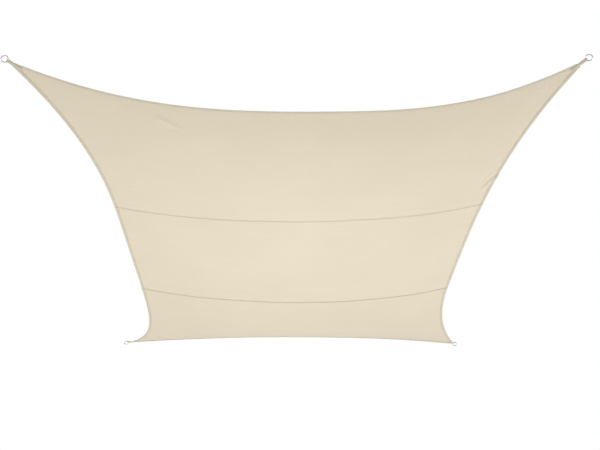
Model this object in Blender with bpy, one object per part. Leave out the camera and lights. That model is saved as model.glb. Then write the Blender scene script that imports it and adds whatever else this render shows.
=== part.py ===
"""Rectangular shade sail, 3 m by 4 m between its rings, hung level by its four corners.

Three straight-cut panels of knitted shade cloth are joined by two lapped seams that run
across the sail. A hem is folded under along all four edges. The edges bow inwards and
hang, and the cloth between them sags. At each corner a loop of webbing holds the cut tip
of the cloth between its two ends and carries a round steel ring.

Metres, +Z up. The origin is the centre of the near left ring, +X runs along the near
edge to the near right ring, and +Y runs to the far rings. The near left and far right
ring centres lie in the plane Z = 0 and the other two a little above it.
"""

import math
from collections import namedtuple

import bmesh
import bpy
from mathutils import Matrix, Vector

# Ring centre to ring centre, across the sail and along it.
SPAN_X = 3.000
SPAN_Y = 4.000

# The near right and far left rings are hung this much higher than the other two.
CORNER_RISE = 0.025

# Each edge: how far it bows inwards and how far it hangs at the deepest place, where
# along it that place is, how squarely the curve leaves its start and its end, and the
# width of its hem.
Edge = namedtuple("Edge", "inward drop peak start_power end_power hem")
NEAR = Edge(0.356, 0.077, 0.54, 2.7, 2.9, 0.014)
FAR = Edge(0.345, 0.075, 0.50, 1.8, 2.5, 0.030)
LEFT = Edge(0.339, 0.083, 0.39, 2.6, 7.0, 0.018)
RIGHT = Edge(0.299, 0.070, 0.65, 3.7, 2.1, 0.018)

# Extra sag of the cloth in the middle, below what its edges give it.
BELLY = 0.052

# The straight seams, as shares of the sail's length, and how the bow of the near and
# far edges fades out towards them.
SEAM_NEAR = 0.3425
SEAM_FAR = 0.6600
BOW_EASE = 1.5

# Folds in the pulled cloth, in plan: from one end to the other, half their width and how
# high the ridge on their left and how deep the trough on their right is.
Fold = namedtuple("Fold", "x0 y0 x1 y1 half_width height")
FOLDS = (
    Fold(2.797, 0.943, 2.633, 1.200, 0.012, 0.0044),
    Fold(0.886, 0.487, 0.712, 0.368, 0.013, 0.0030),
)

# Lines of the mesh along each fold, in half widths from its middle, and across it, as
# shares of its length.
LINES_ALONG = (-2.6, -1.8, -1.0, 0.0, 1.0, 1.8, 2.6)
LINES_ACROSS = (0.0, 0.2, 0.4, 0.6, 0.8, 1.0)

# Single cloth, the folded hem with the step where its fold ends, and the lapped seams:
# half their width, and how far the upper cloth lies above the lower one.
CLOTH_THICKNESS = 0.0012
HEM_THICKNESS = 0.0032
FOLD_RAMP = 0.002
LAP_HALF = 0.0075
LAP_RISE = 0.0016
LAP_GAP = 0.0005

# Cells of each panel's mesh, without those of its hems and laps. The grading is how much
# narrower the cells get towards the edges.
COLUMNS = 24
COLUMN_GRADING = 0.6
EDGE_ROWS = 9
EDGE_GRADING = 1.5
MIDDLE_ROWS = 8

# Radius of the wire, and of the ring at the middle of its wire.
RING_WIRE = 0.003
RING_RADIUS = 0.018
RING_SEGMENTS = 32
WIRE_SEGMENTS = 10

# Each strip of webbing, its two ends on the cloth and its turn round the ring's wire,
# where it spreads over this angle of the ring to either side.
WEBBING_THICKNESS = 0.0014
WEBBING_HALF_WIDTH = 0.008
WEBBING_CLEARANCE = 0.0005
WEBBING_COLUMNS = 4
WEBBING_ON_CLOTH = 0.050
CLOTH_STATIONS = 4
WRAP_STATIONS = 9
WRAP_SPREAD = math.radians(27.0)

# Each corner: the side of the sail it is on, its ring's turn about the line of pull and
# droop at the webbing, and how far from the ring's centre the cloth's tip is cut.
Corner = namedtuple("Corner", "name s v turn droop tip")
CORNERS = (
    Corner("near_left", 0.0, 0.0, -34.0, 4.0, 0.050),
    Corner("near_right", 1.0, 0.0, 32.0, 6.0, 0.068),
    Corner("far_left", 0.0, 1.0, -38.0, 20.0, 0.074),
    Corner("far_right", 1.0, 1.0, 36.0, 22.0, 0.062),
)
TIP_SHARE = 0.03
CUT_TOLERANCE = 0.000001
LINE_TOLERANCE = 0.002
SLOPE_STEP = 0.001

# Rounds in which the widths of crossing hems, each a share of the other's rows, settle.
HEM_ROUNDS = 3

CLOTH_COLOR = (0.73, 0.66, 0.51, 1.0)
WEBBING_COLOR = (0.52, 0.48, 0.37, 1.0)
STEEL_COLOR = (0.60, 0.60, 0.61, 1.0)


def clear_scene():
    for item in list(bpy.data.objects):
        bpy.data.objects.remove(item, do_unlink=True)


def make_material(name, color, roughness, metallic):
    material = bpy.data.materials.new(name)
    material.use_nodes = True
    shader = material.node_tree.nodes["Principled BSDF"]
    shader.inputs["Base Color"].default_value = color
    shader.inputs["Roughness"].default_value = roughness
    shader.inputs["Metallic"].default_value = metallic
    return material


def bow(edge, share):
    """Share of an edge's full bow, 0 at both ends and 1 at its peak."""
    if share < edge.peak:
        return 1.0 - ((edge.peak - share) / edge.peak) ** edge.start_power
    return 1.0 - ((share - edge.peak) / (1.0 - edge.peak)) ** edge.end_power


def sail_point(s, v):
    """Top face of the hung cloth, s from the left edge to the right, v from near to far."""
    left_x = LEFT.inward * bow(LEFT, v)
    right_x = SPAN_X - RIGHT.inward * bow(RIGHT, v)
    near_fade = max(0.0, 1.0 - v / SEAM_NEAR) ** BOW_EASE
    far_fade = max(0.0, (v - SEAM_FAR) / (1.0 - SEAM_FAR)) ** BOW_EASE
    y = v * SPAN_Y
    y += NEAR.inward * bow(NEAR, s) * near_fade
    y -= FAR.inward * bow(FAR, s) * far_fade
    drop = (1.0 - v) * NEAR.drop * bow(NEAR, s)
    drop += v * FAR.drop * bow(FAR, s)
    drop += (1.0 - s) * LEFT.drop * bow(LEFT, v)
    drop += s * RIGHT.drop * bow(RIGHT, v)
    drop += BELLY * (4.0 * s * (1.0 - s)) * (4.0 * v * (1.0 - v))
    rise = CORNER_RISE * (s * (1.0 - v) + (1.0 - s) * v)
    return Vector((left_x + s * (right_x - left_x), y, HEM_THICKNESS / 2 + rise - drop))


def slopes(s, v):
    """How the cloth runs for each unit of s and of v."""
    along_s = sail_point(s + SLOPE_STEP, v) - sail_point(s - SLOPE_STEP, v)
    along_v = sail_point(s, v + SLOPE_STEP) - sail_point(s, v - SLOPE_STEP)
    return along_s / (2 * SLOPE_STEP), along_v / (2 * SLOPE_STEP)


def inset_s(side, v, distance):
    """Step of s that goes this far in from a side edge, measured square to the edge."""
    along_s, along_v = slopes(side, v)
    return distance * along_v.length / along_s.cross(along_v).length


def inset_v(s, end, distance):
    """Step of v that goes this far in from the near or far edge, square to the edge."""
    along_s, along_v = slopes(s, end)
    return distance * along_s.length / along_s.cross(along_v).length


def fold_place(fold, x, y):
    """Share of the way along a fold, and half widths aside from its middle."""
    run = Vector((fold.x1 - fold.x0, fold.y1 - fold.y0))
    way = Vector((x - fold.x0, y - fold.y0))
    return way.dot(run) / run.length_squared, run.cross(way) / run.length / fold.half_width


def fold_height(fold, x, y):
    """Height that a fold adds to the cloth at a place in plan."""
    along, aside = fold_place(fold, x, y)
    if not 0.0 < along < 1.0:
        return 0.0
    ridge = aside * math.exp(0.5 - aside * aside / 2)
    return fold.height * math.sin(math.pi * along) * ridge


def column_shares(v):
    """Shares s of a row: both side hems, with narrower cells towards the edges."""
    left = inset_s(0.0, v, LEFT.hem)
    right = inset_s(1.0, v, RIGHT.hem)
    start = inset_s(0.0, v, LEFT.hem + FOLD_RAMP)
    width = 1.0 - start - inset_s(1.0, v, RIGHT.hem + FOLD_RAMP)
    shares = [0.0, left]
    for i in range(COLUMNS + 1):
        q = i / COLUMNS
        q -= COLUMN_GRADING * math.sin(math.tau * q) / math.tau
        shares.append(start + width * q)
    return shares + [1.0 - right, 1.0]


def edge_row_shares(s, end, seam):
    """Shares v of a near or far panel's column, from its hemmed edge to past its seam."""
    inwards = 1.0 if end < seam else -1.0
    edge = NEAR if end < seam else FAR
    lap = LAP_HALF / SPAN_Y
    hem = inset_v(s, end, edge.hem)
    start = inset_v(s, end, edge.hem + FOLD_RAMP)
    length = abs(seam - end) - lap - start
    steps = [0.0, hem]
    steps += [start + length * (j / EDGE_ROWS) ** EDGE_GRADING for j in range(EDGE_ROWS + 1)]
    steps.append(abs(seam - end) + lap)
    return [end + inwards * step for step in steps]


def middle_row_shares():
    """Shares v of the middle panel, from past the near seam to past the far seam."""
    lap = LAP_HALF / SPAN_Y
    fold_in = (LAP_HALF + LAP_GAP) / SPAN_Y
    ramp = fold_in + FOLD_RAMP / SPAN_Y
    start = SEAM_NEAR + ramp
    length = SEAM_FAR - ramp - start
    shares = [SEAM_NEAR - lap, SEAM_NEAR + fold_in]
    shares += [start + length * j / MIDDLE_ROWS for j in range(MIDDLE_ROWS + 1)]
    return shares + [SEAM_FAR - fold_in, SEAM_FAR + lap]


def lay_grid(columns, rows, place, weigh):
    """A sheet of quads with the point place(i, j) in column i and row j, face up.

    The first vertex group holds weigh(i, j), the point's share of the full thickness.
    """
    sheet = bmesh.new()
    shares = sheet.verts.layers.deform.verify()
    bmesh.ops.create_grid(sheet, x_segments=columns, y_segments=rows, size=0.5)
    for vert in sheet.verts:
        i = round((vert.co.x + 0.5) * columns)
        j = round((vert.co.y + 0.5) * rows)
        vert.co = place(i, j)
        vert[shares][0] = weigh(i, j)
    return sheet


def press_folds(sheet, folds):
    """Lay lines of the mesh along and across each fold, and raise the cloth there."""
    for fold in folds:
        start = Vector((fold.x0, fold.y0, 0.0))
        run = Vector((fold.x1 - fold.x0, fold.y1 - fold.y0, 0.0))
        aside = Vector((-run.y, run.x, 0.0)).normalized()
        lines = [(start + aside * (fold.half_width * q), aside) for q in LINES_ALONG]
        lines += [(start + run * share, run) for share in LINES_ACROSS]
        for point, across in lines:
            geometry = sheet.verts[:] + sheet.edges[:] + sheet.faces[:]
            bmesh.ops.bisect_plane(
                sheet, geom=geometry, dist=LINE_TOLERANCE, plane_co=point, plane_no=across
            )
    for vert in sheet.verts:
        vert.co.z += sum(fold_height(fold, vert.co.x, vert.co.y) for fold in folds)


def corner_frame(corner):
    """Ring centre, and the inward, sideways and upward directions of the cloth's tip."""
    centre = sail_point(corner.s, corner.v) - Vector((0, 0, HEM_THICKNESS / 2))
    towards_s = TIP_SHARE if corner.s == 0.0 else -TIP_SHARE
    towards_v = TIP_SHARE if corner.v == 0.0 else -TIP_SHARE
    origin = sail_point(corner.s, corner.v)
    cross_edge = (sail_point(corner.s + towards_s, corner.v) - origin).normalized()
    side_edge = (sail_point(corner.s, corner.v + towards_v) - origin).normalized()
    inward = (cross_edge + side_edge).normalized()
    upward = cross_edge.cross(side_edge).normalized()
    if upward.z < 0.0:
        upward.negate()
    return centre, inward, upward.cross(inward), upward


def cut_tip(sheet, corner):
    """Cut the cloth's tip off square to the pull; what is left at the cut is all hem."""
    centre, inward, _, _ = corner_frame(corner)
    shares = sheet.verts.layers.deform.verify()
    geometry = sheet.verts[:] + sheet.edges[:] + sheet.faces[:]
    cut = bmesh.ops.bisect_plane(
        sheet,
        geom=geometry,
        dist=CUT_TOLERANCE,
        plane_co=centre + inward * corner.tip,
        plane_no=inward,
        clear_inner=True,
    )
    for item in cut["geom_cut"]:
        if isinstance(item, bmesh.types.BMVert):
            item[shares][0] = 1.0


def finish_object(name, sheet, material, parent):
    mesh = bpy.data.meshes.new(name)
    sheet.to_mesh(mesh)
    sheet.free()
    mesh.materials.append(material)
    mesh.shade_smooth()
    piece = bpy.data.objects.new(name, mesh)
    bpy.context.collection.objects.link(piece)
    piece.parent = parent
    return piece


def thicken(piece, thickness, offset):
    solid = piece.modifiers.new("thickness", "SOLIDIFY")
    solid.thickness = thickness
    solid.offset = offset
    solid.use_even_offset = True
    return solid


def add_panel(name, row_shares, lap_rows, lift, folds, corners, material, parent):
    """One panel of cloth with its hem folded under; row_shares(s) gives its rows."""
    rows = len(row_shares(0.5)) - 1
    columns = len(column_shares(0.5)) - 1
    hem_columns = (0, 1, columns - 1, columns)
    hem_rows = () if lap_rows else (0, 1)

    def place(i, j):
        s = column_shares(0.5)[i]
        for _ in range(HEM_ROUNDS):
            v = row_shares(s)[j]
            s = column_shares(v)[i]
        return sail_point(s, v) + Vector((0, 0, lift))

    lapped = [row % (rows + 1) for row in lap_rows]

    def weigh(i, j):
        is_hem = j in hem_rows or (i in hem_columns and j not in lapped)
        return 1.0 if is_hem else 0.0

    sheet = lay_grid(columns, rows, place, weigh)
    bmesh.ops.recalc_face_normals(sheet, faces=sheet.faces[:])
    if sum(face.normal.z for face in sheet.faces) < 0.0:
        bmesh.ops.reverse_faces(sheet, faces=sheet.faces[:])
    press_folds(sheet, folds)
    for corner in corners:
        cut_tip(sheet, corner)
    piece = finish_object(name, sheet, material, parent)
    piece.vertex_groups.new(name="hem")
    solid = thicken(piece, HEM_THICKNESS, -1.0)
    solid.vertex_group = "hem"
    solid.thickness_vertex_group = CLOTH_THICKNESS / HEM_THICKNESS
    return piece


def ring_frame(corner):
    """Ring centre, the direction to its webbing, its sideways direction and its axis."""
    centre, inward, sideways, upward = corner_frame(corner)
    turn = Matrix.Rotation(math.radians(corner.turn), 3, inward)
    turned_side = turn @ sideways
    droop = Matrix.Rotation(-math.radians(corner.droop), 3, turned_side)
    return centre, droop @ inward, turned_side, droop @ (turn @ upward)


def add_ring(corner, material, parent):
    """Welded round ring of steel wire."""
    wire = bmesh.new()
    bmesh.ops.create_circle(wire, segments=WIRE_SEGMENTS, radius=RING_WIRE)
    bmesh.ops.rotate(wire, verts=wire.verts, matrix=Matrix.Rotation(math.pi / 2, 3, "X"))
    bmesh.ops.translate(wire, verts=wire.verts, vec=(RING_RADIUS, 0, 0))
    bmesh.ops.spin(
        wire,
        geom=wire.verts[:] + wire.edges[:],
        cent=(0, 0, 0),
        axis=(0, 0, 1),
        angle=math.tau,
        steps=RING_SEGMENTS,
        use_merge=True,
    )
    ring = finish_object("ring_" + corner.name, wire, material, parent)
    centre, to_webbing, sideways, axis = ring_frame(corner)
    turned = Matrix((to_webbing, sideways, axis)).transposed()
    ring.matrix_local = Matrix.Translation(centre) @ turned.to_4x4()
    return ring


def tip_line(corner, distance, layer):
    """Middle and sideways direction of a webbing end on the cloth, at a distance inwards."""
    along_s, along_v = slopes(corner.s, corner.v)
    _, inward, _, _ = corner_frame(corner)
    shares = Matrix((along_s.xy, along_v.xy)).transposed().inverted() @ inward.xy
    s = corner.s + shares.x * distance
    v = corner.v + shares.y * distance
    run_s, run_v = slopes(s, v)
    normal = run_s.cross(run_v).normalized()
    if normal.z < 0.0:
        normal.negate()
    run = (run_s * shares.x + run_v * shares.y).normalized()
    height = HEM_THICKNESS / 2 + WEBBING_CLEARANCE + WEBBING_THICKNESS / 2
    middle = sail_point(s, v) + normal * (layer * height - HEM_THICKNESS / 2)
    return middle, normal.cross(run)


def webbing_stations(corner):
    """Rows of points of the webbing's middle layer, from its upper end round to its lower."""
    across = [2.0 * j / WEBBING_COLUMNS - 1.0 for j in range(WEBBING_COLUMNS + 1)]

    def on_cloth(layer):
        rows = []
        for k in range(CLOTH_STATIONS + 1):
            distance = corner.tip + WEBBING_ON_CLOTH * (1.0 - k / CLOTH_STATIONS)
            middle, sideways = tip_line(corner, distance, layer)
            rows.append([middle + sideways * (WEBBING_HALF_WIDTH * x) for x in across])
        return rows

    centre, to_webbing, sideways, axis = ring_frame(corner)
    wrap_radius = RING_WIRE + WEBBING_CLEARANCE + WEBBING_THICKNESS / 2
    droop = math.radians(corner.droop)
    wrap = []
    for k in range(WRAP_STATIONS + 1):
        angle = math.pi / 2 - droop + math.pi * k / WRAP_STATIONS
        row = []
        for x in across:
            spread = WRAP_SPREAD * x
            outwards = to_webbing * math.cos(spread) + sideways * math.sin(spread)
            reach = outwards * (RING_RADIUS + wrap_radius * math.cos(angle))
            row.append(centre + reach + axis * (wrap_radius * math.sin(angle)))
        wrap.append(row)
    return on_cloth(1.0) + wrap + on_cloth(-1.0)[::-1]


def add_webbing(corner, material, parent):
    """One strip of webbing: over the tip, through the ring and back under the tip."""
    stations = webbing_stations(corner)
    rows = len(stations) - 1
    strip = lay_grid(WEBBING_COLUMNS, rows, lambda i, j: stations[j][i], lambda i, j: 1.0)
    bmesh.ops.recalc_face_normals(strip, faces=strip.faces[:])
    piece = finish_object("webbing_" + corner.name, strip, material, parent)
    thicken(piece, WEBBING_THICKNESS, 0.0)
    return piece


def main():
    clear_scene()
    frame = bpy.data.objects.new("shade_sail", None)
    bpy.context.collection.objects.link(frame)
    cloth = make_material("shade_cloth", CLOTH_COLOR, 0.85, 0.0)
    webbing = make_material("webbing", WEBBING_COLOR, 0.80, 0.0)
    steel = make_material("steel", STEEL_COLOR, 0.30, 1.0)
    near_corners = [corner for corner in CORNERS if corner.v == 0.0]
    far_corners = [corner for corner in CORNERS if corner.v == 1.0]
    add_panel(
        "panel_near",
        lambda s: edge_row_shares(s, 0.0, SEAM_NEAR),
        (),
        0.0,
        FOLDS,
        near_corners,
        cloth,
        frame,
    )
    add_panel(
        "panel_middle",
        lambda s: middle_row_shares(),
        (0, 1, -2, -1),
        LAP_RISE,
        (),
        (),
        cloth,
        frame,
    )
    add_panel(
        "panel_far",
        lambda s: edge_row_shares(s, 1.0, SEAM_FAR),
        (),
        0.0,
        (),
        far_corners,
        cloth,
        frame,
    )
    for corner in CORNERS:
        add_webbing(corner, webbing, frame)
        add_ring(corner, steel, frame)


main()
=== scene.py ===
import math
from collections import namedtuple

import bmesh
import bpy
from mathutils import Matrix, Vector


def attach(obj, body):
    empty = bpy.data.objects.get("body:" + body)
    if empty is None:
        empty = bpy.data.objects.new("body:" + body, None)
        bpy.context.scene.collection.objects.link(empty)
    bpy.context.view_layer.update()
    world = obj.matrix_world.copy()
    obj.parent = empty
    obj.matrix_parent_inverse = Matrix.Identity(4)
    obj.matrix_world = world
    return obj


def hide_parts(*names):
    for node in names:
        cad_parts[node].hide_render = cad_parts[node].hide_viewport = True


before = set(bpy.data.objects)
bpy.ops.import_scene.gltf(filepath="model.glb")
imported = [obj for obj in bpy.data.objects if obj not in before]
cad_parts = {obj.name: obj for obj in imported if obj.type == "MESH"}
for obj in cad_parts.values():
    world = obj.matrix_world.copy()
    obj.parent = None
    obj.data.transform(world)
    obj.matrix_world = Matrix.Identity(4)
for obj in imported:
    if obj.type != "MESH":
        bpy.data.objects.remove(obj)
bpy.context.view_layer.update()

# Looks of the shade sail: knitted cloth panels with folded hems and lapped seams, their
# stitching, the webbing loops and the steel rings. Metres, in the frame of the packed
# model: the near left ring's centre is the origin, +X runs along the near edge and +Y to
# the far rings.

# The hung sail, as it is built: ring centre to ring centre, and for each edge its inward
# bow and hang at its peak, the peak's place, how squarely the curve leaves its start and
# its end, and the width of its hem. A seam's place is its share of the sail's length.
SPAN_X = 3.000
SPAN_Y = 4.000
CORNER_RISE = 0.025
Edge = namedtuple("Edge", "inward drop peak start_power end_power hem")
NEAR = Edge(0.356, 0.077, 0.54, 2.7, 2.9, 0.014)
FAR = Edge(0.345, 0.075, 0.50, 1.8, 2.5, 0.030)
LEFT = Edge(0.339, 0.083, 0.39, 2.6, 7.0, 0.018)
RIGHT = Edge(0.299, 0.070, 0.65, 3.7, 2.1, 0.018)
EDGES = {"near": NEAR, "far": FAR, "left": LEFT, "right": RIGHT}
BELLY = 0.052
SEAM_NEAR = 0.3425
SEAM_FAR = 0.6600
BOW_EASE = 1.5
SLOPE_STEP = 0.001
SOLID_HEM = 0.0032
CUT_TOLERANCE = 1e-6

# A hem is turned twice: out over the edge, under, and its raw edge tucked back inside.
CLOTH = 0.0009
FOLD_RADIUS = 0.0011
TUCK_RADIUS = 0.00055
TUCK_END = 0.004
FOLD_STEPS = 5
TUCK_STEPS = 4
FLAT_STEPS = 3
EDGE_INSET = FOLD_RADIUS + CLOTH / 2
HEM_DEPTH = 2 * FOLD_RADIUS + CLOTH

# The middle panel lies over its neighbours at the lapped seams: half of a lap and the gap
# beside it as shares of the sail's length, and how far the panel is lifted and drawn in.
LAP = 0.0075 / SPAN_Y
LAP_RISE = 0.0010
LAP_GAP = 0.0004 / SPAN_Y
LAP_INSET = 0.0016

# Cells of the cloth's mesh. Near a fold or crease they are halved if its half width is
# below the first of these, and again if it is below the second. The rows' and columns'
# places are settled in rounds. A point this close to an edge, in shares, is on it.
CELL = 0.012
HALVED_BELOW = (2.0 * CELL, 0.9 * CELL)
INSET_ROUNDS = 3
EDGE_SHARE = 0.0018

# Rows of stitches: how far in from the outer and the inner side of a hem, and to either
# side of the middle of a seam.
STITCH_PITCH = 0.0050
STITCH_LENGTH = 0.0044
STITCH_WIDTH = 0.0008
STITCH_SIDES = 6
STITCH_RINGS = 3
HEM_ROW_OUTER = 0.0040
HEM_ROW_INNER = 0.0030
SEAM_ROW = 0.0045
PATH_STEPS = 500

# The ring, of welded wire, with a bead where its ends meet.
RING_WIRE = 0.003
RING_RADIUS = 0.018
RING_SEGMENTS = 96
WIRE_SEGMENTS = 20
WELD_ANGLE = math.radians(148.0)
WELD_SPREAD = math.radians(7.0)
WELD_SWELL = 0.10
WELD_ROUGHNESS = 0.3
WELD_RIPPLES = 7.0

# The webbing, and the box of stitches that holds each end of it.
WEBBING = 0.0014
WEBBING_HALF_WIDTH = 0.008
WEBBING_CLEARANCE = 0.0005
WEBBING_ON_CLOTH = 0.050
WEBBING_COLUMNS = 10
CLOTH_STATIONS = 16
REACH_STATIONS = 6
WRAP_STATIONS = 26
WRAP_SPREAD = math.radians(27.0)
WEBBING_ROUNDING = 0.00045
WEBBING_SHARP_EDGE = math.radians(50.0)
BOX_START = 0.006
BOX_LENGTH = 0.036
BOX_HALF_WIDTH = 0.0056
BOX_PITCH = 0.0031
BOX_STITCH = 0.0027
BOX_STITCH_RINGS = 4

# Each corner's place in shares of the sail, how its ring is turned and droops in degrees,
# and how far from the ring's centre the cloth's tip is cut. The directions of a corner's
# edges are taken over the first share of their length.
Corner = namedtuple("Corner", "name s v turn droop tip")
CORNERS = (
    Corner("near_left", 0.0, 0.0, -34.0, 4.0, 0.050),
    Corner("near_right", 1.0, 0.0, 32.0, 6.0, 0.068),
    Corner("far_left", 0.0, 1.0, -38.0, 20.0, 0.074),
    Corner("far_right", 1.0, 1.0, 36.0, 22.0, 0.062),
)
TIP_SHARE = 0.03

# Folds, creases and waves of the cloth, in plan. A fold has a ridge on its left and a
# trough on its right; a crease is a ridge, or a trough where its height is below nothing.
Line = namedtuple("Line", "x0 y0 x1 y1 half_width height")
FOLDS = (
    Line(2.797, 0.943, 2.633, 1.200, 0.012, 0.0044),
    Line(0.886, 0.487, 0.712, 0.368, 0.013, 0.0030),
)
CREASES = (
    # on and beside the fold at the right hem
    Line(2.781, 0.962, 2.646, 1.172, 0.005, 0.0014),
    Line(2.733, 0.900, 2.608, 1.124, 0.012, 0.0022),
    Line(2.735, 1.100, 2.670, 1.270, 0.013, 0.0018),
    Line(2.760, 0.770, 2.660, 0.960, 0.016, 0.0016),
    # on and beside the fold inside the near edge
    Line(0.760, 0.406, 0.872, 0.474, 0.006, 0.0014),
    Line(0.715, 0.348, 0.838, 0.404, 0.008, 0.0018),
    Line(0.770, 0.470, 0.868, 0.512, 0.008, 0.0014),
    Line(0.720, 0.515, 0.850, 0.650, 0.016, -0.0018),
    Line(0.620, 0.640, 0.780, 0.790, 0.026, 0.0014),
    # long, low puckers of the near panel
    Line(1.120, 0.600, 1.500, 0.900, 0.045, -0.0016),
    Line(1.050, 0.520, 1.130, 0.700, 0.035, 0.0010),
    Line(2.170, 0.600, 2.390, 0.980, 0.050, -0.0014),
    # and of the middle panel
    Line(1.700, 1.750, 2.600, 2.290, 0.060, -0.0016),
    Line(0.600, 2.150, 1.150, 2.480, 0.070, 0.0014),
    # the pull of the corners
    Line(0.120, 0.080, 0.210, 0.420, 0.022, 0.0014),
    Line(0.110, 0.110, 0.620, 0.560, 0.034, 0.0016),
    Line(0.200, 0.130, 0.640, 0.330, 0.024, -0.0012),
    Line(2.880, 0.080, 2.760, 0.480, 0.024, 0.0014),
    Line(2.860, 0.120, 2.360, 0.600, 0.036, 0.0016),
    Line(2.800, 0.120, 2.330, 0.360, 0.026, -0.0012),
    Line(0.130, 3.880, 0.620, 3.480, 0.034, 0.0016),
    Line(0.120, 3.800, 0.300, 3.400, 0.026, -0.0014),
    Line(2.870, 3.880, 2.400, 3.500, 0.034, 0.0016),
    Line(2.880, 3.790, 2.720, 3.400, 0.026, -0.0014),
)
LINE_REACH = 3.2
Wave = namedtuple("Wave", "length_x length_y shift_x shift_y height")
WAVES = (
    Wave(0.94, 1.31, 0.4, 1.2, 0.0016),
    Wave(0.57, 0.83, 2.2, 0.3, 0.0011),
    Wave(1.70, 0.49, 1.1, 2.6, 0.0009),
    Wave(0.31, 0.37, 0.9, 4.1, 0.0004),
)

# Small gathers along the seams: how long and high they are, how far to either side they
# reach, how their length wanders, and how soon they fade in from the sail's edges.
PUCKER_LENGTH = 0.083
PUCKER_DRIFT = 0.47
PUCKER_REACH = 0.035
PUCKER_HEIGHT = 0.0005
PUCKER_WANDER = 2.0
PUCKER_FADE = 4.0

# The photograph's view: the camera stands below the sail and in front of its near edge.
CAMERA_PLACE = (1.3993, -3.5163, -2.9105)
CAMERA_PITCH = math.radians(28.94)
CAMERA_YAW = math.radians(1.505)
CAMERA_ROLL = math.radians(-0.732)
CAMERA_LENS = 52.53
CAMERA_SENSOR = 36.0
FLOOR_HEIGHT = -3.40
FLOOR_HALF = 400.0

CLOTH_COLOR = (0.779, 0.719, 0.595)
THREAD_COLOR = (0.670, 0.618, 0.498)
WEBBING_COLOR = (0.560, 0.525, 0.415)
STEEL_COLOR = (0.470, 0.470, 0.480)
FLOOR_COLOR = (0.82, 0.82, 0.81)
BACKDROP_COLOR = (1.0, 1.0, 1.0, 1.0)
BACKDROP_LIGHT = 0.815

# The knitted cloth: chains of loops, and between them tapes that sway a little, through so
# many radians a metre. Bars of tone run along it, and a share of the light glows through it.
# Its colour carries painted shade in a band at each doubled seam and in the low gaps of its
# knit.
CHAIN_PITCH = 0.0030
LOOP_PITCH = 0.0026
LOOP_DEPTH = 0.35
TAPE_PITCH = 0.0013
TAPE_DEPTH = 0.45
TAPE_SWAY = 0.0007
TAPE_TURNS = 1047.0
BAR_STRETCH = (0.35, 22.0, 1.0)
TONE_SPREAD = 0.55
# How much painted shade darkens the colour in the band at each seam.
SEAM_PAINTED_SHADE = -0.50
GLOW_SHARE = 0.34

# The woven webbing: ridges of yarn along it, and fine picks that cross them.
RIDGE_PITCH = 0.0020
PICK_PITCH = 0.0011
PICK_SWAY = 0.0004

# The steel's roughness where it is smooth, and what its scratches add.
STEEL_SMOOTH = 0.27
STEEL_SCRATCHED = 0.16

# Softboxes, all turned to the sail's middle: two that rake its lower face from the sides,
# one that shines through it from above the far left, and weak ones below its near and far
# halves. They light the sail alone, and leave the floor to the backdrop.
SAIL_MIDDLE = (1.5, 2.2, -0.1)
Softbox = namedtuple("Softbox", "name x y z size watts")
SOFTBOXES = (
    Softbox("softbox_right", 10.0, 4.0, -2.2, 3.0, 410.0),
    Softbox("softbox_left", -7.0, 3.0, -2.2, 3.0, 300.0),
    Softbox("softbox_above", -3.0, 7.0, 3.2, 3.0, 270.0),
    Softbox("softbox_near", 1.5, 1.2, -3.2, 1.6, 46.0),
    Softbox("softbox_far", 1.2, 3.4, -3.2, 2.5, 17.5),
)


# ---------------------------------------------------------------- the hung surface


def bow(edge, share):
    """Share of an edge's full bow, 0 at both ends and 1 at its peak."""
    if share < edge.peak:
        return 1.0 - (max(0.0, edge.peak - share) / edge.peak) ** edge.start_power
    return 1.0 - (max(0.0, share - edge.peak) / (1.0 - edge.peak)) ** edge.end_power


def sail_point(s, v):
    """Top face of the hung cloth, s from the left edge to the right, v from near to far."""
    left_x = LEFT.inward * bow(LEFT, v)
    right_x = SPAN_X - RIGHT.inward * bow(RIGHT, v)
    near_fade = max(0.0, 1.0 - v / SEAM_NEAR) ** BOW_EASE
    far_fade = max(0.0, (v - SEAM_FAR) / (1.0 - SEAM_FAR)) ** BOW_EASE
    y = v * SPAN_Y
    y += NEAR.inward * bow(NEAR, s) * near_fade
    y -= FAR.inward * bow(FAR, s) * far_fade
    drop = (1.0 - v) * NEAR.drop * bow(NEAR, s)
    drop += v * FAR.drop * bow(FAR, s)
    drop += (1.0 - s) * LEFT.drop * bow(LEFT, v)
    drop += s * RIGHT.drop * bow(RIGHT, v)
    drop += BELLY * (4.0 * s * (1.0 - s)) * (4.0 * v * (1.0 - v))
    rise = CORNER_RISE * (s * (1.0 - v) + (1.0 - s) * v)
    return Vector((left_x + s * (right_x - left_x), y, SOLID_HEM / 2 + rise - drop))


def slopes(s, v):
    """How the cloth runs for each unit of s and of v."""
    along_s = sail_point(s + SLOPE_STEP, v) - sail_point(s - SLOPE_STEP, v)
    along_v = sail_point(s, v + SLOPE_STEP) - sail_point(s, v - SLOPE_STEP)
    return along_s / (2 * SLOPE_STEP), along_v / (2 * SLOPE_STEP)


def inset_s(side, v, distance):
    """Step of s that goes this far in from a side edge, measured square to the edge."""
    along_s, along_v = slopes(side, v)
    return distance * along_v.length / along_s.cross(along_v).length


def inset_v(s, end, distance):
    """Step of v that goes this far in from the near or far edge, square to the edge."""
    along_s, along_v = slopes(s, end)
    return distance * along_s.length / along_s.cross(along_v).length


def line_place(line, x, y):
    """Share of the way along a fold or crease, and half widths to the left of it."""
    run_x = line.x1 - line.x0
    run_y = line.y1 - line.y0
    length = math.hypot(run_x, run_y)
    way_x = x - line.x0
    way_y = y - line.y0
    along = (way_x * run_x + way_y * run_y) / length ** 2
    return along, (run_x * way_y - run_y * way_x) / (length * line.half_width)


def is_near_line(line, x, y):
    along, aside = line_place(line, x, y)
    return 0.0 < along < 1.0 and abs(aside) < LINE_REACH


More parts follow.
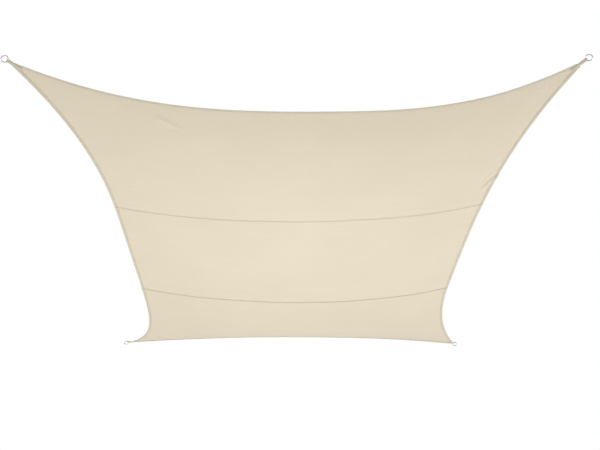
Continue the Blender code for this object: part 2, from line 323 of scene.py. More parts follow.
def pucker(x, y):
    """Small gathers of the cloth where its seams are sewn."""
    height = 0.0
    for seam in (SEAM_NEAR, SEAM_FAR):
        off = (y - seam * SPAN_Y) / PUCKER_REACH
        turn = math.tau * (x + seam) / PUCKER_LENGTH
        turn += PUCKER_WANDER * math.sin(math.tau * x / PUCKER_DRIFT)
        height += PUCKER_HEIGHT * math.sin(turn) * math.exp(-off * off)
    return height


def relief(x, y):
    """Height that folds, creases, waves and puckers add to the cloth at a place in plan."""
    height = 0.0
    for line in FOLDS:
        if is_near_line(line, x, y):
            along, aside = line_place(line, x, y)
            ridge = aside * math.exp(0.5 - aside * aside / 2)
            height += line.height * math.sin(math.pi * along) * ridge
    for line in CREASES:
        if is_near_line(line, x, y):
            along, aside = line_place(line, x, y)
            fade = math.sin(math.pi * along) ** 2
            height += line.height * fade * math.exp(-aside * aside)
    fade = math.sin(math.pi * x / SPAN_X) * math.sin(math.pi * y / SPAN_Y)
    for wave in WAVES:
        turn_x = math.tau * x / wave.length_x + wave.shift_x
        turn_y = math.tau * y / wave.length_y + wave.shift_y
        height += wave.height * fade * math.sin(turn_x) * math.sin(turn_y)
    return height + pucker(x, y) * min(1.0, PUCKER_FADE * fade)


def surface(s, v, height):
    """A point this far above the cloth's top face, and the way up there."""
    along_s, along_v = slopes(s, v)
    upward = along_s.cross(along_v).normalized()
    point = sail_point(s, v) + upward * height
    point.z += relief(point.x, point.y)
    return point, upward


def corner_frame(corner):
    """Ring centre, and the inward, sideways and upward directions of the cloth's tip."""
    centre = sail_point(corner.s, corner.v) - Vector((0, 0, SOLID_HEM / 2))
    cross_edge, side_edge = corner_edges(corner)
    inward = (cross_edge + side_edge).normalized()
    upward = cross_edge.cross(side_edge).normalized()
    if upward.z < 0.0:
        upward.negate()
    return centre, inward, upward.cross(inward), upward


def corner_edges(corner):
    """The directions of a corner's two edges: the near or far one, and the side one."""
    towards_s = TIP_SHARE if corner.s == 0.0 else -TIP_SHARE
    towards_v = TIP_SHARE if corner.v == 0.0 else -TIP_SHARE
    origin = sail_point(corner.s, corner.v)
    cross_edge = (sail_point(corner.s + towards_s, corner.v) - origin).normalized()
    side_edge = (sail_point(corner.s, corner.v + towards_v) - origin).normalized()
    return cross_edge, side_edge


# ---------------------------------------------------------------- making pieces


def finish_piece(name, bm, material, node=None):
    """A smooth object of the mesh, on the sail's body and in place of a solid."""
    mesh = bpy.data.meshes.new(name)
    bm.to_mesh(mesh)
    bm.free()
    mesh.materials.append(material)
    mesh.shade_smooth()
    piece = bpy.data.objects.new(name, mesh)
    bpy.context.collection.objects.link(piece)
    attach(piece, "root")
    if node:
        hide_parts(node)
    return piece


def thicken(piece, thickness):
    solid = piece.modifiers.new("thickness", "SOLIDIFY")
    solid.thickness = thickness
    solid.offset = 0.0
    solid.use_even_offset = True


# ---------------------------------------------------------------- cloth


def edge_frame(side, s, v):
    """A point of an edge's top face, the way out of the cloth there and the way up."""
    s = {"left": 0.0, "right": 1.0}.get(side, s)
    v = {"near": 0.0, "far": 1.0}.get(side, v)
    along_s, along_v = slopes(s, v)
    upward = along_s.cross(along_v).normalized()
    run = along_v if side in ("left", "right") else along_s
    outward = run.cross(upward).normalized()
    if side in ("left", "far"):
        outward.negate()
    return sail_point(s, v), outward, upward


def hem_profile(width):
    """The hem's middle layer, from the cloth's edge on: distance out and depth."""
    inside = CLOTH / 2 + FOLD_RADIUS
    under = inside + FOLD_RADIUS
    turn = -width + TUCK_RADIUS + CLOTH / 2
    points = []
    for k in range(1, FOLD_STEPS + 1):
        angle = math.pi * k / FOLD_STEPS
        out = -EDGE_INSET + FOLD_RADIUS * math.sin(angle)
        points.append((out, inside - FOLD_RADIUS * math.cos(angle)))
    for k in range(1, FLAT_STEPS + 1):
        points.append((-EDGE_INSET + (turn + EDGE_INSET) * k / FLAT_STEPS, under))
    for k in range(1, TUCK_STEPS + 1):
        angle = math.pi * k / TUCK_STEPS
        out = turn - TUCK_RADIUS * math.sin(angle)
        points.append((out, under - TUCK_RADIUS * (1.0 - math.cos(angle))))
    for k in range(1, FLAT_STEPS + 1):
        points.append((turn - (TUCK_END + turn) * k / FLAT_STEPS, inside))
    return points


def once_each(elements):
    """The elements without repeats, in an order that each run gives, as a set's is not."""
    return list(dict.fromkeys(elements))


def fold_hem(sheet, layers, side, chain, lift):
    """Carry one edge of the cloth round and under along the hem's profile."""
    faces = []
    travel = 0.0
    before = (-EDGE_INSET, CLOTH / 2)
    for profile in hem_profile(EDGES[side].hem):
        travel += math.dist(before, profile)
        before = profile
        carried = {}
        for start in once_each(vert for edge in chain for vert in edge.verts):
            point, outward, upward = edge_frame(side, start[layers["s"]], start[layers["v"]])
            place = point + outward * profile[0] - upward * (profile[1] - lift)
            vert = sheet.verts.new(place, start)
            flat = point + outward * (travel - EDGE_INSET)
            vert[layers["flat_x"]] = flat.x
            vert[layers["flat_y"]] = flat.y
            carried[start] = vert
        strip = []
        for edge in chain:
            loop = edge.link_loops[0]
            ends = (loop.link_loop_next.vert, loop.vert)
            strip.append(sheet.faces.new((*ends, carried[ends[1]], carried[ends[0]])))
        chain = [face.loops[2].edge for face in strip]
        faces += strip
    return faces


def mitre(sheet, side, faces, corner):
    """Trim a hem where it meets its neighbour, along the middle of the cloth's tip."""
    _, _, sideways, _ = corner_frame(corner)
    cross_edge, side_edge = corner_edges(corner)
    own = side_edge if side in ("left", "right") else cross_edge
    if own.dot(sideways) < 0.0:
        sideways = -sideways
    faces = [face for face in faces if face.is_valid]
    edges = once_each(edge for face in faces for edge in face.edges)
    verts = once_each(vert for face in faces for vert in face.verts)
    bmesh.ops.bisect_plane(
        sheet,
        geom=verts + edges + faces,
        dist=CUT_TOLERANCE,
        plane_co=sail_point(corner.s, corner.v),
        plane_no=sideways,
        clear_inner=True,
    )


def cut_tip(sheet, corner):
    """Cut the cloth's tip off square to the pull."""
    centre, inward, _, _ = corner_frame(corner)
    bmesh.ops.bisect_plane(
        sheet,
        geom=sheet.verts[:] + sheet.edges[:] + sheet.faces[:],
        dist=CUT_TOLERANCE,
        plane_co=centre + inward * corner.tip,
        plane_no=inward,
        clear_inner=True,
    )


def lay_cloth(sheet, layers, columns, rows, row_share, side_inset):
    """Fill the sheet with a grid of the cloth's shares of the sail."""
    bmesh.ops.create_grid(sheet, x_segments=columns, y_segments=rows, size=0.5)
    for vert in sheet.verts:
        across = vert.co.x + 0.5
        row = round((vert.co.y + 0.5) * rows)
        s = across
        for _ in range(INSET_ROUNDS):
            v = row_share(s, row)
            left = inset_s(0.0, v, side_inset(row))
            right = inset_s(1.0, v, side_inset(row))
            s = left + (1.0 - left - right) * across
        vert[layers["s"]] = s
        vert[layers["v"]] = v
        vert.co = sail_point(s, v)


def refine(sheet, lines):
    """Halve the cells near some of the folds and creases."""
    close = []
    for edge in sheet.edges:
        middle = (edge.verts[0].co + edge.verts[1].co) / 2
        if any(is_near_line(line, middle.x, middle.y) for line in lines):
            close.append(edge)
    bmesh.ops.subdivide_edges(sheet, edges=close, cuts=1, use_grid_fill=True)


def hem_chain(sheet, layers, side, first_v, last_v):
    """The edges along one side of the sheet, between two shares of the sail's length."""
    name = "s" if side in ("left", "right") else "v"
    at_start = side in ("left", "near")

    def belongs(vert):
        share = vert[layers[name]]
        on_side = share < EDGE_SHARE if at_start else share > 1.0 - EDGE_SHARE
        return on_side and first_v <= vert[layers["v"]] <= last_v

    return [e for e in sheet.edges if e.is_boundary and all(belongs(v) for v in e.verts)]


def write_uv(sheet, layers):
    """The cloth as it was cut flat, in metres, as a UV map."""
    uv = sheet.loops.layers.uv.new("cut_cloth")
    for face in sheet.faces:
        for loop in face.loops:
            loop[uv].uv = (loop.vert[layers["flat_x"]], loop.vert[layers["flat_y"]])


def panel_sheet(rows, row_share, side_inset, hems, lift, corners):
    """One panel's middle layer, with its hems folded under and its tips cut."""
    sheet = bmesh.new()
    layers = {}
    for name in ("s", "v", "flat_x", "flat_y"):
        layers[name] = sheet.verts.layers.float.new(name)
    lay_cloth(sheet, layers, round(SPAN_X / CELL), rows, row_share, side_inset)
    for limit in HALVED_BELOW:
        refine(sheet, [line for line in FOLDS + CREASES if line.half_width < limit])
    bmesh.ops.recalc_face_normals(sheet, faces=sheet.faces[:])
    if sum(face.normal.z for face in sheet.faces) < 0.0:
        bmesh.ops.reverse_faces(sheet, faces=sheet.faces[:])
    for vert in sheet.verts:
        vert.co = sail_point(vert[layers["s"]], vert[layers["v"]])
        vert[layers["flat_x"]] = vert.co.x
        vert[layers["flat_y"]] = vert.co.y
        vert.co.z += lift - CLOTH / 2
    chains = {side: hem_chain(sheet, layers, side, *ends) for side, ends in hems.items()}
    for side, chain in chains.items():
        faces = fold_hem(sheet, layers, side, chain, lift)
        for corner in corners:
            if side in corner.name:
                mitre(sheet, side, faces, corner)
    for corner in corners:
        cut_tip(sheet, corner)
    for vert in sheet.verts:
        vert.co.z += relief(vert.co.x, vert.co.y)
    write_uv(sheet, layers)
    for name in ("s", "v", "flat_x", "flat_y"):
        sheet.verts.layers.float.remove(sheet.verts.layers.float[name])
    return sheet


def add_panel(name, sheet, material):
    """One panel of cloth, thickened to the cloth's thickness; its area is summed but not
    used.
    """
    area = sum(face.calc_area() for face in sheet.faces)
    piece = finish_piece("cloth_" + name, sheet, material, "panel_" + name)
    thicken(piece, CLOTH)
    return piece


def end_panel_sheet(end):
    """The near or the far panel: hemmed along its edge and both sides."""
    seam = SEAM_NEAR + LAP if end == "near" else SEAM_FAR - LAP
    limit = 0.0 if end == "near" else 1.0
    rows = round(abs(seam - limit) * SPAN_Y / CELL)

    def row_share(s, row):
        edge = abs(limit - inset_v(s, limit, EDGE_INSET))
        start, stop = (edge, seam) if end == "near" else (seam, edge)
        return start + (stop - start) * row / rows

    corners = [corner for corner in CORNERS if corner.name.startswith(end)]
    hems = {end: (0.0, 1.0), "left": (0.0, 1.0), "right": (0.0, 1.0)}
    return panel_sheet(rows, row_share, lambda row: EDGE_INSET, hems, 0.0, corners)


def middle_panel_sheet():
    """The middle panel: hemmed at both sides and lying over its neighbours' edges."""
    start = SEAM_NEAR + LAP + LAP_GAP
    stop = SEAM_FAR - LAP - LAP_GAP
    count = round((stop - start) * SPAN_Y / CELL)
    shares = [SEAM_NEAR - LAP, SEAM_NEAR]
    shares += [start + (stop - start) * k / count for k in range(count + 1)]
    shares += [SEAM_FAR, SEAM_FAR + LAP]
    rows = len(shares) - 1
    lapped = (0, 1, rows - 1, rows)

    def side_inset(row):
        return EDGE_INSET + (LAP_INSET if row in lapped else 0.0)

    ends = (start - LAP_GAP / 2, stop + LAP_GAP / 2)
    hems = {"left": ends, "right": ends}
    return panel_sheet(rows, lambda s, row: shares[row], side_inset, hems, LAP_RISE, ())


# ---------------------------------------------------------------- stitching


def hem_row(side, distance):
    """Shares of the sail along a row of stitches, this far in from an edge."""
    places = {
        "near": lambda t: (t, inset_v(t, 0.0, distance)),
        "far": lambda t: (t, 1.0 - inset_v(t, 1.0, distance)),
        "left": lambda t: (inset_s(0.0, t, distance), t),
        "right": lambda t: (1.0 - inset_s(1.0, t, distance), t),
    }
    return places[side]


def seam_row(seam, distance):
    return lambda t: (t, seam + distance / SPAN_Y)


def even_shares(row, pitch):
    """Shares of the way along a row, a stitch's pitch apart on the cloth."""
    points = [sail_point(*row(k / PATH_STEPS)) for k in range(PATH_STEPS + 1)]
    shares = []
    travelled = 0.0
    for k in range(PATH_STEPS):
        step = (points[k + 1] - points[k]).length
        first = math.ceil(travelled / pitch - 0.5)
        last = math.ceil((travelled + step) / pitch - 0.5)
        for n in range(first, last):
            shares.append((k + ((n + 0.5) * pitch - travelled) / step) / PATH_STEPS)
        travelled += step
    return shares


def is_lifted(v, overlap):
    return SEAM_NEAR - overlap < v < SEAM_FAR + overlap


def is_cut_off(point):
    for corner in CORNERS:
        centre, inward, _, _ = corner_frame(corner)
        if (point - centre).dot(inward) < corner.tip + STITCH_LENGTH / 2:
            return True
    return False


def sewn_row(row, depth, first_v=0.0, last_v=1.0):
    """Stitches along a row, on the top face and on the face that is this deep."""
    stitches = []
    for t in even_shares(row, STITCH_PITCH):
        s, v = row(t)
        if not first_v <= v < last_v:
            continue
        ahead = sail_point(*row(t + SLOPE_STEP / 2)) - sail_point(*row(t - SLOPE_STEP / 2))
        top = LAP_RISE if is_lifted(v, LAP) else 0.0
        bottom = (LAP_RISE if is_lifted(v, -LAP) else 0.0) - depth
        for height in (top, bottom):
            point, upward = surface(s, v, height)
            if not is_cut_off(point):
                stitches.append((point, ahead.normalized(), upward))
    return stitches


def hem_stitches(side, first_v, last_v):
    width = EDGES[side].hem
    stitches = []
    for distance in (HEM_ROW_OUTER, width - HEM_ROW_INNER):
        stitches += sewn_row(hem_row(side, distance), HEM_DEPTH, first_v, last_v)
    return stitches


def seam_stitches():
    stitches = []
    for seam in (SEAM_NEAR, SEAM_FAR):
        for distance in (-SEAM_ROW, SEAM_ROW):
            row = seam_row(seam, distance)
            stitches += sewn_row(row, CLOTH)
    return stitches


def stitch_tree(length, rings):
    """Lays a short spindle of thread on each point, turned as the point's turn says."""
    tree = bpy.data.node_groups.new("stitching", "GeometryNodeTree")
    tree.interface.new_socket("Geometry", in_out="INPUT", socket_type="NodeSocketGeometry")
    tree.interface.new_socket("Geometry", in_out="OUTPUT", socket_type="NodeSocketGeometry")
    source = tree.nodes.new("NodeGroupInput")
    result = tree.nodes.new("NodeGroupOutput")
    spindle = tree.nodes.new("GeometryNodeMeshUVSphere")
    spindle.inputs["Segments"].default_value = STITCH_SIDES
    spindle.inputs["Rings"].default_value = rings
    spindle.inputs["Radius"].default_value = 0.5
    turn = tree.nodes.new("GeometryNodeInputNamedAttribute")
    turn.data_type = "QUATERNION"
    turn.inputs["Name"].default_value = "turn"
    lay = tree.nodes.new("GeometryNodeInstanceOnPoints")
    lay.inputs["Scale"].default_value = (STITCH_WIDTH, STITCH_WIDTH, length)
    realize = tree.nodes.new("GeometryNodeRealizeInstances")
    tree.links.new(source.outputs["Geometry"], lay.inputs["Points"])
    tree.links.new(spindle.outputs["Mesh"], lay.inputs["Instance"])
    tree.links.new(turn.outputs["Attribute"], lay.inputs["Rotation"])
    tree.links.new(lay.outputs["Instances"], realize.inputs["Geometry"])
    tree.links.new(realize.outputs["Geometry"], result.inputs["Geometry"])
    return tree


def sew(name, stitches, tree, material):
    """One piece of many stitches, each (place, way along it, way up)."""
    points = bmesh.new()
    for place, _, _ in stitches:
        points.verts.new(place)
    piece = finish_piece(name, points, material)
    turns = piece.data.attributes.new("turn", "QUATERNION", "POINT")
    for entry, (_, along, upward) in zip(turns.data, stitches):
        turned = Matrix((upward.cross(along), upward, along)).transposed()
        entry.value = turned.to_quaternion()
    modifier = piece.modifiers.new("stitching", "NODES")
    modifier.node_group = tree
    evaluated = piece.evaluated_get(bpy.context.evaluated_depsgraph_get())
    sewn = bpy.data.meshes.new_from_object(evaluated)
    piece.modifiers.remove(modifier)
    piece.data = sewn
    sewn.materials.clear()
    sewn.materials.append(material)
    sewn.shade_smooth()
    return piece


# ---------------------------------------------------------------- rings and webbing


def ring_frame(corner):
    """Ring centre, the direction to its webbing, its sideways direction and its axis."""
    centre, inward, sideways, upward = corner_frame(corner)
    turn = Matrix.Rotation(math.radians(corner.turn), 3, inward)
    turned_side = turn @ sideways
    droop = Matrix.Rotation(-math.radians(corner.droop), 3, turned_side)
    return centre, droop @ inward, turned_side, droop @ (turn @ upward)


def add_ring(corner, material):
    """Welded round ring of steel wire, built of rounds of points."""
    centre, to_webbing, sideways, axis = ring_frame(corner)
    wire = bmesh.new()
    rounds = []
    for k in range(RING_SEGMENTS):
        angle = math.tau * k / RING_SEGMENTS
        outward = to_webbing * math.cos(angle) + sideways * math.sin(angle)
        off = (angle - WELD_ANGLE) / WELD_SPREAD
        bead = WELD_SWELL * math.exp(-off * off)
        bead *= 1.0 + WELD_ROUGHNESS * math.sin(WELD_RIPPLES * off)
        radius = RING_WIRE * (1.0 + bead)
        rounds.append([])
        for j in range(WIRE_SEGMENTS):
            turn = math.tau * j / WIRE_SEGMENTS
            reach = outward * (RING_RADIUS + radius * math.cos(turn))
            point = centre + reach + axis * (radius * math.sin(turn))
            rounds[-1].append(wire.verts.new(point))
    for k in range(RING_SEGMENTS):
        before, after = rounds[k - 1], rounds[k]
        for j in range(WIRE_SEGMENTS):
            wire.faces.new((before[j - 1], after[j - 1], after[j], before[j]))
    bmesh.ops.recalc_face_normals(wire, faces=wire.faces[:])
    finish_piece("steel_ring_" + corner.name, wire, material, "ring_" + corner.name)


def tip_line(corner, distance, layer):
    """Middle, sideways direction and way up of a webbing end at a distance inwards."""
    along_s, along_v = slopes(corner.s, corner.v)
    _, inward, _, _ = corner_frame(corner)
    shares = Matrix((along_s.xy, along_v.xy)).transposed().inverted() @ inward.xy
    s = corner.s + shares.x * distance
    v = corner.v + shares.y * distance
    run_s, run_v = slopes(s, v)
    normal = run_s.cross(run_v).normalized()
    run = (run_s * shares.x + run_v * shares.y).normalized()
    height = SOLID_HEM / 2 + WEBBING_CLEARANCE + WEBBING / 2
    middle = sail_point(s, v) + normal * (layer * height - SOLID_HEM / 2)
    return middle, normal.cross(run), normal


def webbing_stations(corner):
    """Rows of points of the webbing's middle layer, from its upper end round to its lower."""
    across = [2.0 * j / WEBBING_COLUMNS - 1.0 for j in range(WEBBING_COLUMNS + 1)]

    def on_cloth(layer):
        rows = []
        for k in range(CLOTH_STATIONS + 1):
            distance = corner.tip + WEBBING_ON_CLOTH * (1.0 - k / CLOTH_STATIONS)
            middle, sideways, _ = tip_line(corner, distance, layer)
            rows.append([middle + sideways * (WEBBING_HALF_WIDTH * x) for x in across])
        return rows

    centre, to_webbing, sideways, axis = ring_frame(corner)
    wrap_radius = RING_WIRE + WEBBING_CLEARANCE + WEBBING / 2
    droop = math.radians(corner.droop)
    wrap = []
    for k in range(WRAP_STATIONS + 1):
        angle = math.pi / 2 - droop + math.pi * k / WRAP_STATIONS
        row = []
        for x in across:
            spread = WRAP_SPREAD * x
            outwards = to_webbing * math.cos(spread) + sideways * math.sin(spread)
            reach = outwards * (RING_RADIUS + wrap_radius * math.cos(angle))
            row.append(centre + reach + axis * (wrap_radius * math.sin(angle)))
        wrap.append(row)

    def between(row_a, row_b):
        rows = []
        for k in range(1, REACH_STATIONS):
            share = k / REACH_STATIONS
            rows.append([a.lerp(b, share) for a, b in zip(row_a, row_b)])
        return rows

    upper = on_cloth(1.0)
    lower = on_cloth(-1.0)[::-1]
    return upper + between(upper[-1], wrap[0]) + wrap + between(wrap[-1], lower[0]) + lower


def add_loop(corner, material):
    """One strip of webbing: over the tip, through the ring and back under the tip."""
    stations = webbing_stations(corner)
    rows = len(stations) - 1
    middle = WEBBING_COLUMNS // 2
    lengths = [0.0]
    for k in range(rows):
        lengths.append(lengths[-1] + (stations[k + 1][middle] - stations[k][middle]).length)
    strip = bmesh.new()
    bmesh.ops.create_grid(strip, x_segments=WEBBING_COLUMNS, y_segments=rows, size=0.5)

    def place_in_grid(vert):
        return round((vert.co.x + 0.5) * WEBBING_COLUMNS), round((vert.co.y + 0.5) * rows)

    uv = strip.loops.layers.uv.new("woven_strip")
    for face in strip.faces:
        for loop in face.loops:
            column, row = place_in_grid(loop.vert)
            across = (2.0 * column / WEBBING_COLUMNS - 1.0) * WEBBING_HALF_WIDTH
            loop[uv].uv = (across, lengths[row])
    for vert in strip.verts:
        column, row = place_in_grid(vert)
        vert.co = stations[row][column]
    bmesh.ops.recalc_face_normals(strip, faces=strip.faces[:])
    node = "webbing_" + corner.name
    piece = finish_piece("loop_" + corner.name, strip, material, node)
    thicken(piece, WEBBING)
    rounding = piece.modifiers.new("rounding", "BEVEL")
    rounding.width = WEBBING_ROUNDING
    rounding.segments = 2
    rounding.limit_method = "ANGLE"
    rounding.angle_limit = WEBBING_SHARP_EDGE


def box_stitches(corner):
    """A box with a cross in it, sewn through both ends of the webbing."""
    near = corner.tip + BOX_START
    far = near + BOX_LENGTH
    half = BOX_HALF_WIDTH
    runs = (
        ((near, -half), (far, -half)),
        ((far, -half), (far, half)),
        ((far, half), (near, half)),
        ((near, half), (near, -half)),
        ((near, -half), (far, half)),
        ((near, half), (far, -half)),
    )
    stitches = []
    for layer in (1.0, -1.0):
        for (start, side_a), (end, side_b) in runs:
            count = round(math.hypot(end - start, side_b - side_a) / BOX_PITCH)
            places = []
            for k in range(2 * count + 1):
                share = k / (2 * count)
                distance = start + (end - start) * share
                middle, sideways, normal = tip_line(corner, distance, layer)
                aside = side_a + (side_b - side_a) * share
                face = normal * (layer * WEBBING / 2)
                places.append((middle + sideways * aside + face, normal))
            for k in range(count):
                place, normal = places[2 * k + 1]
                along = (places[2 * k + 2][0] - places[2 * k][0]).normalized()
                stitches.append((place, along, normal))
    return stitches


# ---------------------------------------------------------------- materials


def new_material(name):
    material = bpy.data.materials.new(name)
    material.use_nodes = True
    tree = material.node_tree
    return material, tree, tree.nodes["Principled BSDF"]


def add_node(tree, kind, inputs, **settings):
    """A new node with its settings, whose inputs are linked to sockets or set to values."""
    node = tree.nodes.new(kind)
    for name, value in settings.items():
        setattr(node, name, value)
    for name, value in inputs.items():
        if isinstance(value, bpy.types.NodeSocket):
            tree.links.new(value, node.inputs[name])
        else:
            node.inputs[name].default_value = value
    return node


def calc(tree, operation, *values):
    """The outcome of a sum of two or three numbers or sockets."""
    node = add_node(tree, "ShaderNodeMath", dict(enumerate(values)), operation=operation)
    return node.outputs[0]


def weighted(tree, *parts):
    """The sum of sockets, each times its weight."""
    products = [calc(tree, "MULTIPLY", socket, weight) for socket, weight in parts]
    total = products[0]
    for product in products[1:]:
        total = calc(tree, "ADD", total, product)
    return total


def ripple(tree, value, pitch):
    """A wave from 0 to 1, this long."""
    wave = calc(tree, "SINE", calc(tree, "MULTIPLY", value, math.tau / pitch))
    return calc(tree, "MULTIPLY_ADD", wave, 0.5, 0.5)


def noise_of(tree, vector, scale, detail):
    inputs = {"Vector": vector, "Scale": scale, "Detail": detail}
    return add_node(tree, "ShaderNodeTexNoise", inputs).outputs["Fac"]


def shade(tree, color, dark, light, factor):
    """A colour made darker or lighter by a factor from 0 to 1."""
    low = (*(channel * dark for channel in color), 1.0)
    high = (*(channel * light for channel in color), 1.0)
    mix = add_node(tree, "ShaderNodeMix", {}, data_type="RGBA")
    tree.links.new(factor, mix.inputs["Factor"])
    colors = {"A": low, "B": high}
    for socket in mix.inputs:
        if socket.type == "RGBA":
            socket.default_value = colors[socket.name]
    return next(socket for socket in mix.outputs if socket.type == "RGBA")


def set_finish(shader, **settings):
    """Set the shader's inputs, each named with _ for a space."""
    for name, value in settings.items():
        shader.inputs[name.replace("_", " ")].default_value = value


def raise_bump(tree, shader, height, distance, strength):
    inputs = {"Height": height, "Distance": distance, "Strength": strength}
    bump = add_node(tree, "ShaderNodeBump", inputs)
    tree.links.new(bump.outputs["Normal"], shader.inputs["Normal"])
    return bump.outputs["Normal"]


def cloth_material():
    """Warp-knitted cloth of plastic yarn: chains of loops, and tapes laid between them."""
    material, tree, shader = new_material("knitted_shade_cloth")
    uv = add_node(tree, "ShaderNodeUVMap", {}, uv_map="cut_cloth").outputs["UV"]
    place = add_node(tree, "ShaderNodeSeparateXYZ", {0: uv})
    along = place.outputs["X"]
    across = place.outputs["Y"]
    chains = calc(tree, "POWER", ripple(tree, across, CHAIN_PITCH), 2.0)
    loops = ripple(tree, along, LOOP_PITCH)
    loops = calc(tree, "MULTIPLY_ADD", loops, LOOP_DEPTH, 1.0 - LOOP_DEPTH)
    sway = calc(tree, "SINE", calc(tree, "MULTIPLY", across, TAPE_TURNS))
    sway = calc(tree, "MULTIPLY", sway, TAPE_SWAY)
    tapes = ripple(tree, calc(tree, "ADD", along, sway), TAPE_PITCH)
    tapes = calc(tree, "MULTIPLY", calc(tree, "SUBTRACT", 1.0, chains), tapes)
    tapes = calc(tree, "MULTIPLY", tapes, TAPE_DEPTH)
    knit = calc(tree, "ADD", calc(tree, "MULTIPLY", chains, loops), tapes)

    blotches = noise_of(tree, uv, scale=2.3, detail=4.0)
    stretched = add_node(tree, "ShaderNodeMapping", {"Vector": uv, "Scale": BAR_STRETCH})
    bars = noise_of(tree, stretched.outputs["Vector"], scale=1.0, detail=2.0)
    mottle = noise_of(tree, uv, scale=38.0, detail=2.0)
    # Blotches, bars and mottle are tone at random; the knit's height also darkens the colour
    # in its low gaps, which is painted shade.
    tone = weighted(tree, (blotches, 0.5), (bars, 0.25), (mottle, 0.15), (knit, 0.45))
    tone = calc(tree, "MULTIPLY_ADD", tone, TONE_SPREAD, 1.0 - TONE_SPREAD)
    # A band at each seam is darkened: painted shade for the light that the doubled cloth
    # holds back.
    near_seam = calc(tree, "COMPARE", across, SEAM_NEAR * SPAN_Y, LAP * SPAN_Y)
    far_seam = calc(tree, "COMPARE", across, SEAM_FAR * SPAN_Y, LAP * SPAN_Y)
    painted_seam_shade = calc(tree, "MAXIMUM", near_seam, far_seam)
    tone = calc(tree, "MULTIPLY_ADD", painted_seam_shade, SEAM_PAINTED_SHADE, tone)
    color = shade(tree, CLOTH_COLOR, dark=0.84, light=1.04, factor=tone)
    tree.links.new(color, shader.inputs["Base Color"])
    set_finish(shader, Roughness=0.82, Specular_IOR_Level=0.30)
    set_finish(shader, Sheen_Weight=0.08, Sheen_Roughness=0.5)
    normal = raise_bump(tree, shader, knit, distance=0.0004, strength=0.45)
    glow = add_node(tree, "ShaderNodeBsdfTranslucent", {"Color": color, "Normal": normal})
    mix = add_node(tree, "ShaderNodeMixShader", {"Fac": GLOW_SHARE})
    tree.links.new(shader.outputs["BSDF"], mix.inputs[1])
    tree.links.new(glow.outputs["BSDF"], mix.inputs[2])
    tree.links.new(mix.outputs["Shader"], tree.nodes["Material Output"].inputs["Surface"])
    return material


def webbing_material():
    """Closely woven strip: ridges of yarn along it, crossed by fine picks."""
    material, tree, shader = new_material("woven_webbing")
    uv = add_node(tree, "ShaderNodeUVMap", {}, uv_map="woven_strip").outputs["UV"]
    place = add_node(tree, "ShaderNodeSeparateXYZ", {0: uv})
    ridges = ripple(tree, place.outputs["X"], RIDGE_PITCH)
    sway = calc(tree, "MULTIPLY", ridges, PICK_SWAY)
    picks = ripple(tree, calc(tree, "ADD", place.outputs["Y"], sway), PICK_PITCH)
    weave = weighted(tree, (ridges, 0.6), (picks, 0.4))
    fuzz = noise_of(tree, uv, scale=900.0, detail=3.0)
    # The weave's height darkens the colour in its grooves, which is painted shade; the fuzz
    # is tone at random.
    tone = weighted(tree, (weave, 0.6), (fuzz, 0.5))
    color = shade(tree, WEBBING_COLOR, dark=0.80, light=1.14, factor=tone)
    tree.links.new(color, shader.inputs["Base Color"])
    set_finish(shader, Roughness=0.72, Sheen_Weight=0.12)
    raise_bump(tree, shader, weave, distance=0.0004, strength=0.8)
    return material


def thread_material():
    """Twisted sewing thread."""
    material, tree, shader = new_material("sewing_thread")
    place = add_node(tree, "ShaderNodeTexCoord", {}).outputs["Object"]
    tone = noise_of(tree, place, scale=60.0, detail=2.0)
    color = shade(tree, THREAD_COLOR, dark=0.86, light=1.10, factor=tone)
    tree.links.new(color, shader.inputs["Base Color"])
    set_finish(shader, Roughness=0.55)
    twist = noise_of(tree, place, scale=2600.0, detail=1.0)
    raise_bump(tree, shader, twist, distance=0.0002, strength=0.4)
    return material


def steel_material():
    """Drawn and tumbled stainless wire, faintly scratched."""
    material, tree, shader = new_material("tumbled_steel")
    place = add_node(tree, "ShaderNodeTexCoord", {}).outputs["Object"]
    scratches = noise_of(tree, place, scale=900.0, detail=4.0)
    stains = noise_of(tree, place, scale=70.0, detail=3.0)
    color = shade(tree, STEEL_COLOR, dark=0.84, light=1.08, factor=stains)
    tree.links.new(color, shader.inputs["Base Color"])
    set_finish(shader, Metallic=1.0)
    rough = calc(tree, "MULTIPLY_ADD", scratches, STEEL_SCRATCHED, STEEL_SMOOTH)
    tree.links.new(rough, shader.inputs["Roughness"])
    raise_bump(tree, shader, scratches, distance=0.00008, strength=0.35)
    return material


def floor_material():
    material, _, shader = new_material("floor_paint")
    set_finish(shader, Base_Color=(*FLOOR_COLOR, 1.0), Roughness=0.9)
    return material


# ---------------------------------------------------------------- studio


def add_camera():
    data = bpy.data.cameras.new("camera")
    data.lens = CAMERA_LENS
    data.sensor_width = CAMERA_SENSOR
    camera = bpy.data.objects.new("camera", data)
    bpy.context.collection.objects.link(camera)
    turn = Matrix.Rotation(-CAMERA_YAW, 4, "Z")
    tilt = Matrix.Rotation(math.pi / 2 + CAMERA_PITCH, 4, "X")
    roll = Matrix.Rotation(CAMERA_ROLL, 4, "Z")
    camera.matrix_world = Matrix.Translation(CAMERA_PLACE) @ turn @ tilt @ roll
    bpy.context.scene.camera = camera


def add_softbox(box, receivers):
    data = bpy.data.lights.new(box.name, "AREA")
    data.shape = "SQUARE"
    data.size = box.size
    data.energy = box.watts
    light = bpy.data.objects.new(box.name, data)
    bpy.context.collection.objects.link(light)
    light.location = (box.x, box.y, box.z)
    aim = Vector(SAIL_MIDDLE) - light.location
    light.rotation_euler = aim.to_track_quat("-Z", "Y").to_euler()
    light.visible_camera = False
    light.light_linking.receiver_collection = receivers


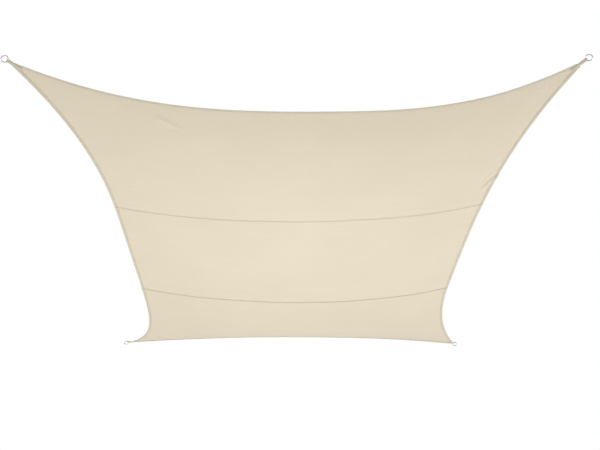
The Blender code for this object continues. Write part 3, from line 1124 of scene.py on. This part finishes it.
def backdrop():
    """White all round, which is seen at full strength and lights the sail with less."""
    world = bpy.data.worlds.new("studio")
    world.use_nodes = True
    tree = world.node_tree
    light = tree.nodes["Background"]
    light.inputs["Color"].default_value = BACKDROP_COLOR
    light.inputs["Strength"].default_value = BACKDROP_LIGHT
    seen = add_node(tree, "ShaderNodeBackground", {"Color": BACKDROP_COLOR, "Strength": 1.0})
    rays = add_node(tree, "ShaderNodeLightPath", {})
    mix = add_node(tree, "ShaderNodeMixShader", {"Fac": rays.outputs["Is Camera Ray"]})
    tree.links.new(light.outputs["Background"], mix.inputs[1])
    tree.links.new(seen.outputs["Background"], mix.inputs[2])
    tree.links.new(mix.outputs["Shader"], tree.nodes["World Output"].inputs["Surface"])
    return world


def add_studio():
    scene = bpy.context.scene
    scene.view_settings.view_transform = "Standard"
    scene.world = backdrop()
    plane = bmesh.new()
    bmesh.ops.create_grid(plane, x_segments=1, y_segments=1, size=FLOOR_HALF)
    bmesh.ops.translate(plane, verts=plane.verts, vec=(SPAN_X / 2, SPAN_Y / 2, FLOOR_HEIGHT))
    mesh = bpy.data.meshes.new("floor")
    plane.to_mesh(mesh)
    plane.free()
    mesh.materials.append(floor_material())
    floor = bpy.data.objects.new("floor", mesh)
    bpy.context.collection.objects.link(floor)
    receivers = bpy.data.collections.new("lit_by_softboxes")
    receivers.objects.link(floor)
    receivers.collection_objects[0].light_linking.link_state = "EXCLUDE"
    for box in SOFTBOXES:
        add_softbox(box, receivers)


def add_panels(material):
    """The three panels."""
    add_panel("near", end_panel_sheet("near"), material)
    add_panel("middle", middle_panel_sheet(), material)
    add_panel("far", end_panel_sheet("far"), material)


def add_stitching(material):
    """The thread of the hems, panel by panel, of the seams and of the corners."""
    fine = stitch_tree(STITCH_LENGTH, STITCH_RINGS)
    ends = {"near": (0.0, SEAM_NEAR), "middle": (SEAM_NEAR, SEAM_FAR), "far": (SEAM_FAR, 1.0)}
    for name, (first_v, last_v) in ends.items():
        stitches = hem_stitches("left", first_v, last_v)
        stitches += hem_stitches("right", first_v, last_v)
        if name != "middle":
            stitches += hem_stitches(name, 0.0, 1.0)
        sew("hem_thread_" + name, stitches, fine, material)
    sew("seam_thread", seam_stitches(), fine, material)
    close = stitch_tree(BOX_STITCH, BOX_STITCH_RINGS)
    stitches = [stitch for corner in CORNERS for stitch in box_stitches(corner)]
    sew("corner_thread", stitches, close, material)


def main():
    add_camera()
    add_studio()
    cloth = cloth_material()
    thread = thread_material()
    webbing = webbing_material()
    steel = steel_material()
    for corner in CORNERS:
        add_loop(corner, webbing)
        add_ring(corner, steel)
    add_panels(cloth)
    add_stitching(thread)


main()
